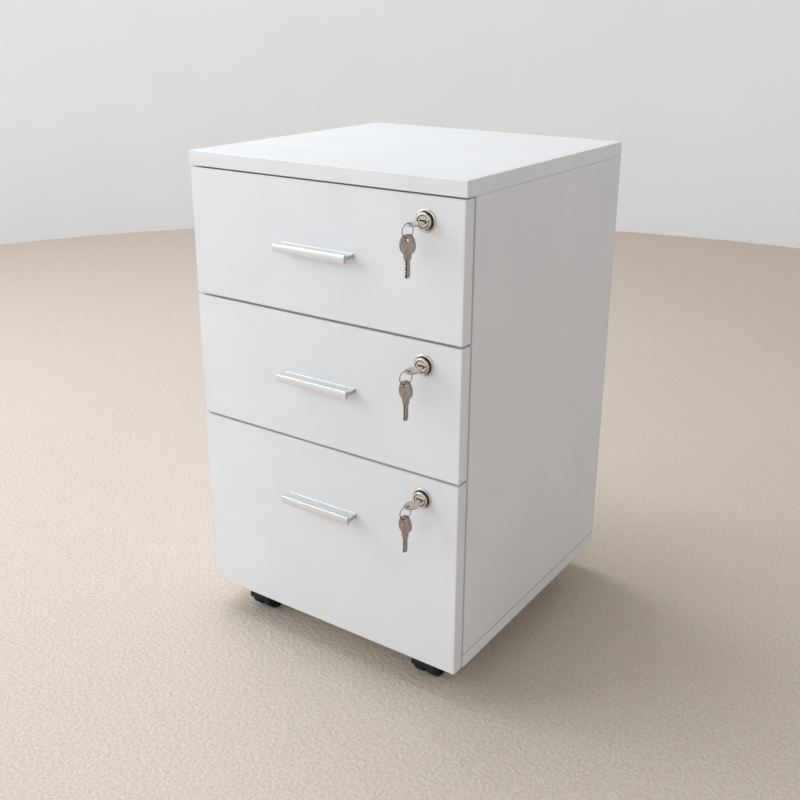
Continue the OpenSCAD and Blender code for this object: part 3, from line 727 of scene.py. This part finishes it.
def make_plug(drawer):
    """The plug's face with its keyway, painted shade inside the keyway, its barrel, and the cam and screw behind
    the front.
    """
    node = drawer + "_lock_plug"
    low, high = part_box(node)
    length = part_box(drawer + "_lock_body")[1].y - low.y
    bm = bmesh.new()
    rim, rim_edges = loop(bm, ring_points(PLUG_R - PLUG_BEVEL), 0)
    mouth, mouth_edges = loop(bm, slot_points(*MOUTH, MOUTH_CORNER), 0)
    bmesh.ops.triangle_fill(bm, use_beauty=True, use_dissolve=False, edges=rim_edges + mouth_edges)
    shoulder, _ = loop(bm, ring_points(PLUG_R), PLUG_BEVEL)
    tail, _ = loop(bm, ring_points(PLUG_R), length)
    throat, _ = loop(bm, slot_points(*KEYWAY, KEYWAY_CORNER), MOUTH_DEPTH)
    deep, _ = loop(bm, slot_points(*KEYWAY, KEYWAY_CORNER), KEYWAY_DEPTH)
    wall(bm, rim, shoulder)
    wall(bm, shoulder, tail)
    bm.faces.new(tail)
    # the keyway's mouth, walls and floor take painted shade
    dark = 1
    wall(bm, mouth, throat, dark)
    wall(bm, throat, deep, dark)
    bm.faces.new(deep).material_index = dark
    add_cam(bm, length + CAM_GAP, high.z - centre(drawer + "_lock_body").z)
    materials, place = (NICKEL, RECESS_SHADE, ZINC), lock_place(drawer, low.y)
    return finish_piece(bm, node + "_core", node, materials, place, LOCK_SMOOTH)


def add_cam(bm, start, reach):
    """A stamped cam pointing up, with a pan-head screw."""
    zinc = 2
    half, tip = CAM_W / 2, CAM_TIP_R
    joint = math.degrees(math.acos(half / EYE_R))
    outline = (
        arc(0, 0, EYE_R, -joint, 180 + joint, 36)
        + arc(-half + tip, -reach + tip, tip, 180, 270, 6)
        + arc(half - tip, -reach + tip, tip, 270, 360, 6)
    )
    near, _ = loop(bm, outline, start + CAM_EDGE)
    far, _ = loop(bm, outline, start + CAM_T - CAM_EDGE)
    wall(bm, near, far, zinc)
    for side, height in ((near, start), (far, start + CAM_T)):
        flat, _ = loop(bm, shrunk(outline, CAM_EDGE), height)
        wall(bm, side, flat, zinc)
        bm.faces.new(flat).material_index = zinc
    base = start + CAM_T - SUNK
    lathe(bm, [
        (0, base),
        (SCREW_R, base),
        (SCREW_R, base + 0.45 * SCREW_H),
        (0.86 * SCREW_R, base + 0.8 * SCREW_H),
        (0.55 * SCREW_R, base + SCREW_H),
        (0.22 * SCREW_R, base + SCREW_H),
        (0, base + 0.5 * SCREW_H),
    ], 32, material=zinc)


# ---- Keys ----

BLADE_HALF, BLADE_L = 2.4 * MM, 20.5 * MM
BLADE_BEVEL = 0.8                       # the blade's thickness at its edges, as a share
GROOVE = (-1.0 * MM, 0.4 * MM)          # where the milled groove runs, across the blade
GROOVE_DEPTH, GROOVE_SLOPE = 0.5 * MM, 0.2 * MM
CUTS = (1.3, 1.7, 1.0, 1.6, 1.4)        # depths in mm, from the shoulder
CUT_START, CUT_PITCH = 3.4, 3.1         # in mm, as are the next two
CUT_MOUTH, CUT_FLOOR = 1.25, 0.35       # half of a cut's length at its mouth and at its floor
BOW_HOLE_R, BOW_HOLE_IN = 2.3 * MM, 6.2 * MM
BOW_ROUNDING = 0.22 * MM
# The bow's right edge as (half width, distance from the shoulder) in mm, from its end to the
# neck. The last two points, the shoulder, stay sharp.
BOW_EDGE = (
    (0, 27), (2.5, 26.7), (4.5, 25.7), (6.1, 23.9), (7.3, 21.5), (8.2, 18.7), (8.7, 15.8),
    (8.7, 13), (8.1, 10.4), (7.0, 8.2), (5.5, 6.6), (4.3, 5.6), (3.9, 4.8), (3.9, 0.4), (3.5, 0),
)


def smooth(points, steps):
    """A Catmull-Rom curve through the points."""
    def between(a, b, c, d, t):
        square, cube = 2 * a - 5 * b + 4 * c - d, 3 * b - a - 3 * c + d
        return 0.5 * (2 * b + (c - a) * t + square * t * t + cube * t ** 3)

    padded = [points[0], *points, points[-1]]
    curve = []
    for near in zip(padded, padded[1:], padded[2:], padded[3:]):
        for k in range(steps):
            curve.append(tuple(between(*axis, k / steps) for axis in zip(*near)))
    return curve + [points[-1]]


def add_bow(bm, thickness):
    """The key's flat bow and neck, with a hole; the shoulder is at y = 0 and the bow towards -Y."""
    right = [(x * MM, -y * MM) for x, y in smooth(BOW_EDGE[:-2], 4) + list(BOW_EDGE[-2:])]
    outline = right + [(-x, y) for x, y in reversed(right[1:])]
    hole_y = -BOW_EDGE[0][1] * MM + BOW_HOLE_IN
    hole, mouth = (
        [(x, y + hole_y) for x, y in ring_points(radius, 32)]
        for radius in (BOW_HOLE_R, BOW_HOLE_R + BOW_ROUNDING)
    )
    sides = []
    for side in (-1, 1):
        flat, sunk = side * thickness / 2, side * (thickness / 2 - BOW_ROUNDING)
        flat_edge, edges = loop(bm, shrunk(outline, BOW_ROUNDING), flat)
        flat_hole, hole_edges = loop(bm, mouth, flat)
        bmesh.ops.triangle_fill(bm, use_beauty=True, use_dissolve=False, edges=edges + hole_edges)
        edge, _ = loop(bm, outline, sunk)
        bore, _ = loop(bm, hole, sunk)
        wall(bm, flat_edge, edge)
        wall(bm, flat_hole, bore)
        sides.append((edge, bore))
    wall(bm, sides[0][0], sides[1][0])
    wall(bm, sides[0][1], sides[1][1])


def blade_stations():
    """Down the blade, (distance from the shoulder, left edge, right edge) in mm.

    The first lies inside the neck, and the last three are the point.
    """
    half, length = BLADE_HALF / MM, BLADE_L / MM
    rows = [(-1.2, -half, half)]
    for i, depth in enumerate(CUTS):
        at = CUT_START + i * CUT_PITCH
        rows += [(at - CUT_MOUTH, -half, half), (at - CUT_FLOOR, depth - half, half)]
        rows += [(at + CUT_FLOOR, depth - half, half), (at + CUT_MOUTH, -half, half)]
    return rows + [
        (length - 1.1, -half * 0.8, half * 0.85),
        (length - 0.4, -half * 0.4, half * 0.5),
        (length, -0.3, 0.4),
    ]


def add_blade(bm, thickness):
    """The blade: a groove milled along each face with painted shade on its floor, and cuts in the left edge."""
    half, dark = thickness / 2, 1
    floor = half - GROOVE_DEPTH
    previous = None
    for y, left, right in blade_stations():
        left, right = left * MM, right * MM
        # The groove keeps clear of both edges, down to 0.15 mm wide at the point
        start = min(max(left + 0.3 * MM, GROOVE[0]), right - 0.5 * MM)
        end = max(start + 0.15 * MM, min(GROOVE[1], right - 0.3 * MM))
        side = min(GROOVE_SLOPE, (end - start) * 0.3)
        top = [
            (left, half * BLADE_BEVEL), (left + 0.15 * MM, half),
            (start, half), (start + side, floor), (end - side, floor), (end, half),
            (right - 0.1 * MM, half), (right, half * BLADE_BEVEL),
        ]
        section = top + [(x, -z) for x, z in reversed(top)]
        ring = [bm.verts.new((x, y * MM, z)) for x, z in section]
        if previous is None:
            bm.faces.new(ring)
        else:
            wall(bm, previous, ring)
            # the groove's floor takes painted shade
            for vert in (ring[3], ring[11]):
                for face in vert.link_faces:
                    if all(abs(v.co.z) < floor + 0.01 * MM for v in face.verts):
                        face.material_index = dark
        previous = ring
    bm.faces.new(previous)


def make_key(node, place, metal):
    """A key with its shoulder at the place's origin and its blade along the place's +Y."""
    bm = bmesh.new()
    thickness = min(size(node))
    add_bow(bm, thickness)
    add_blade(bm, thickness)
    return finish_piece(bm, node + "_blank", node, (metal, RECESS_SHADE), place, smooth_angle=40)


def hung_place(drawer, joint_name):
    """The turn about Z of a hanging piece, read from its joint's axis."""
    axis = JOINTS[drawer + joint_name]["axis"]
    return Matrix.Rotation(math.atan2(axis[0], -axis[1]), 4, "Z")


def make_keys(drawer):
    low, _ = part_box(drawer + "_lock_body")
    middle = centre(drawer + "_lock_body")
    make_key(drawer + "_key", Matrix.Translation((middle.x, low.y, middle.z)), USED_KEY)
    spare = drawer + "_spare_key"
    pivot = Vector(JOINTS[drawer + "_spare_swing"]["pos_m"])
    shoulder = Matrix.Translation((pivot.x, pivot.y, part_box(spare)[0].z + BLADE_L))
    make_key(spare, shoulder @ hung_place(drawer, "_spare_swing") @ ALONG_Y, SHADED_SPARE_KEY)


# ---- Key rings ----

COIL_W, COIL_T = 0.95 * MM, 0.36 * MM       # the flat wire, across and along the ring's axis
COIL_GAP, COIL_ROUNDING = 0.06 * MM, 0.08 * MM
COILS, COIL_STEPS = 2, 144
COIL_START = 70                             # where the wire's ends lie, in degrees
SOLID_WIRE_R = 0.55 * MM                    # of the plain ring that this one replaces


def make_ring(drawer):
    """A split ring: two turns of flat wire, one beside the other."""
    node = drawer + "_key_ring"
    low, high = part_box(node)
    pivot = Vector(JOINTS[drawer + "_ring_swing"]["pos_m"])
    radius = (high.z - low.z) / 2 - SOLID_WIRE_R
    middle_z = (low.z + high.z) / 2
    out = math.sqrt(radius ** 2 - (pivot.z - middle_z) ** 2)
    place = (
        Matrix.Translation((pivot.x, pivot.y, middle_z))
        @ hung_place(drawer, "_ring_swing")
        @ Matrix.Translation((0, -out, 0))
        @ Matrix.Rotation(math.radians(90), 4, "Y")
    )
    rise = COILS * (COIL_T + COIL_GAP) / 2
    soft = COIL_ROUNDING
    corners = [
        (s * (COIL_W / 2 - a), t * (COIL_T / 2 - b))
        for s, t, a, b in (
            (1, 1, soft, 0), (1, 1, 0, soft), (1, -1, 0, soft), (1, -1, soft, 0),
            (-1, -1, soft, 0), (-1, -1, 0, soft), (-1, 1, 0, soft), (-1, 1, soft, 0),
        )
    ]
    bm = bmesh.new()
    previous = None
    for k in range(COIL_STEPS * COILS + 1):
        angle = math.radians(COIL_START) + 2 * math.pi * k / COIL_STEPS
        lift = rise * (k / (COIL_STEPS * COILS) - 0.5)
        ring = [
            bm.verts.new(((radius + r) * math.cos(angle), (radius + r) * math.sin(angle), lift + z))
            for r, z in corners
        ]
        if previous is None:
            bm.faces.new(ring)
        else:
            wall(bm, previous, ring)
        previous = ring
    bm.faces.new(previous)
    return finish_piece(bm, node + "_coils", node, (RING_STEEL,), place, smooth_angle=60)


# ---- Castors ----

WHEEL_W = 12 * MM
AXLE_R, AXLE_IN = 2.5 * MM, 1 * MM          # AXLE_IN is how far it goes into either wheel
# A wheel's section as (radius, distance from the outer face) in mm, for a wheel of this radius.
# It runs over the hub cap, the dished face, the rim, the crowned tread and the inner face.
DRAWN_WHEEL_R = 20
WHEEL_SECTION = (
    (0, 0.5), (2.0, 0.5), (2.6, 0.3), (3.4, 0.0), (6.4, 0.0), (6.9, 0.4), (7.2, 1.6), (14.2, 1.9),
    (14.7, 1.2), (15.0, 0.3), (15.6, 0.0), (18.2, 0.0), (19.0, 0.25), (19.6, 0.9), (19.88, 1.8),
    (20, 3.2), (20, 9.4), (19.8, 10.8), (19.2, 11.7), (18.2, 12), (3.2, 12), (0, 12),
)


def add_wheel(bm, outer_x, way, radius, axle):
    """One wheel about X. way points inwards, as 1 or -1."""
    scale = radius / (DRAWN_WHEEL_R * MM)
    along = Matrix.Translation(axle) @ Matrix.Rotation(math.radians(90 * way), 4, "Y")
    start = Matrix.Translation((0, 0, (outer_x - axle.x) * way))
    lathe(bm, [(r * MM * scale, h * MM) for r, h in WHEEL_SECTION], 72, along @ start)


def make_wheels(castor):
    """The two wheels of a castor and the axle between them."""
    node = castor + "_wheels"
    low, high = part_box(node)
    axle = centre(node)
    radius = (high.z - low.z) / 2
    bm = bmesh.new()
    add_wheel(bm, low.x, 1, radius, axle)
    add_wheel(bm, high.x, -1, radius, axle)
    start, end = WHEEL_W - AXLE_IN, high.x - low.x - WHEEL_W + AXLE_IN
    along = Matrix.Translation((low.x, axle.y, axle.z)) @ Matrix.Rotation(math.radians(90), 4, "Y")
    profile = [(0, start), (AXLE_R, start), (AXLE_R, end), (0, end)]
    zinc = 1
    lathe(bm, profile, 32, along, zinc)
    return finish_piece(bm, node + "_pair", node, (TREAD, ZINC), smooth_angle=40)


# ---- The object ----

# The base panel takes painted shade along its joint with the boards standing on it.
for board in ("top_panel", "base_panel", "side_panel_left", "side_panel_right", "back_panel"):
    dress_board(board, painted_joint_shade=board == "base_panel")
soften("case_fittings", 0.25 * MM, recessed=True)
soften("wood_screws", 0.12 * MM, recessed=True)
soften("slide_rails", 0.25 * MM)
soften("lock_strikes", 0.25 * MM)
soften("castor_plates", 0.3 * MM)
for drawer in DRAWERS:
    dress_board(drawer + "_front", 0.9 * MM)
    dress_board(drawer + "_box_sides", 0.5 * MM, banded=False)
    dress_board(drawer + "_box_back", 0.5 * MM, banded=False)
    soften(drawer + "_box_bottom", 0.3 * MM)
    soften(drawer + "_fixings", 0.25 * MM, recessed=True)
    soften(drawer + "_slide_runners", 0.25 * MM)
    soften(drawer + "_rail_rollers", 0.5 * MM)
    soften(drawer + "_runner_rollers", 0.5 * MM)
    make_handle(drawer)
    make_lock_body(drawer)
    make_plug(drawer)
    make_keys(drawer)
    make_ring(drawer)
for castor in ("castor_front_left", "castor_front_right", "castor_back_left", "castor_back_right"):
    soften(castor + "_hood", 0.8 * MM, segments=3)
    make_wheels(castor)


# ---- Stage, light and camera ----

FLOOR_R, WALL_H = 2.7, 3.2


def make_stage():
    """A round floor with a fine grain, and a plain pale wall all round it."""
    f = Finish("pale_floor", Roughness=0.9, Specular_IOR_Level=0.15)
    f.tint(f.noise(260, 3), (0.60, 0.515, 0.425), (0.755, 0.68, 0.605), 0.25, 0.75)
    f.bump(f.noise(170, 3), 0.5, 0.004)
    w = Finish("pale_wall", Roughness=0.95, Specular_IOR_Level=0.1)
    w.tint(w.noise(3), (0.895, 0.903, 0.915), (0.91, 0.918, 0.93))
    for name, profile, material in (
        ("floor", [(0, 0), (FLOOR_R, 0)], f.material),
        ("wall", [(FLOOR_R, 0), (FLOOR_R, WALL_H)], w.material),
    ):
        bm = bmesh.new()
        lathe(bm, profile, 96)
        mesh = bpy.data.meshes.new(name)
        bm.to_mesh(mesh)
        bm.free()
        mesh.materials.append(material)
        mesh.polygons.foreach_set("use_smooth", [True] * len(mesh.polygons))
        thing = bpy.data.objects.new(name, mesh)
        bpy.context.scene.collection.objects.link(thing)


def add_light(name, place, target, width, height, power, colour):
    data = bpy.data.lights.new(name, "AREA")
    data.shape = "RECTANGLE"
    data.size, data.size_y = width, height
    data.energy = power
    data.color = colour
    lamp = bpy.data.objects.new(name, data)
    bpy.context.scene.collection.objects.link(lamp)
    lamp.location = place
    lamp.rotation_euler = (Vector(target) - Vector(place)).to_track_quat("-Z", "Y").to_euler()


def make_lights():
    """A wide soft window at the front left, a weak fill in front, a soft ceiling and a dim room."""
    aim = (0, 0, 0.35)
    add_light("window", (-1.9, -1.35, 1.5), aim, 1.7, 1.5, 24, (0.885, 0.94, 1.0))
    add_light("front_fill", (-0.3, -2.4, 1.2), aim, 1.8, 1.6, 10, (0.885, 0.94, 1.0))
    add_light("ceiling", (-1.1, 0.1, 2.6), aim, 1.8, 2.2, 47, (0.91, 0.95, 1.0))
    world = bpy.data.worlds.new("soft_room")
    bpy.context.scene.world = world
    world.use_nodes = True
    room = world.node_tree.nodes["Background"].inputs
    room["Color"].default_value = (1.0, 0.855, 0.72, 1)
    room["Strength"].default_value = 0.20
    bpy.context.scene.view_settings.view_transform = "Standard"


def make_camera():
    """The photograph's viewing angle; its frame is kept with a small vertical shift."""
    azimuth, elevation, roll = math.radians(34.3), math.radians(19.19), math.radians(0.3)
    data = bpy.data.cameras.new("photo_camera")
    data.sensor_width = 36
    data.lens = 45.55
    data.shift_y = -0.05
    camera = bpy.data.objects.new("photo_camera", data)
    bpy.context.scene.collection.objects.link(camera)
    camera.location = (0.7274, -1.0741, 0.8127)
    forward = Vector((
        -math.sin(azimuth) * math.cos(elevation),
        math.cos(azimuth) * math.cos(elevation),
        -math.sin(elevation),
    ))
    turn = forward.to_track_quat("-Z", "Y") @ Quaternion((0, 0, 1), roll)
    camera.rotation_euler = turn.to_euler()
    bpy.context.scene.camera = camera


make_stage()
make_lights()
make_camera()
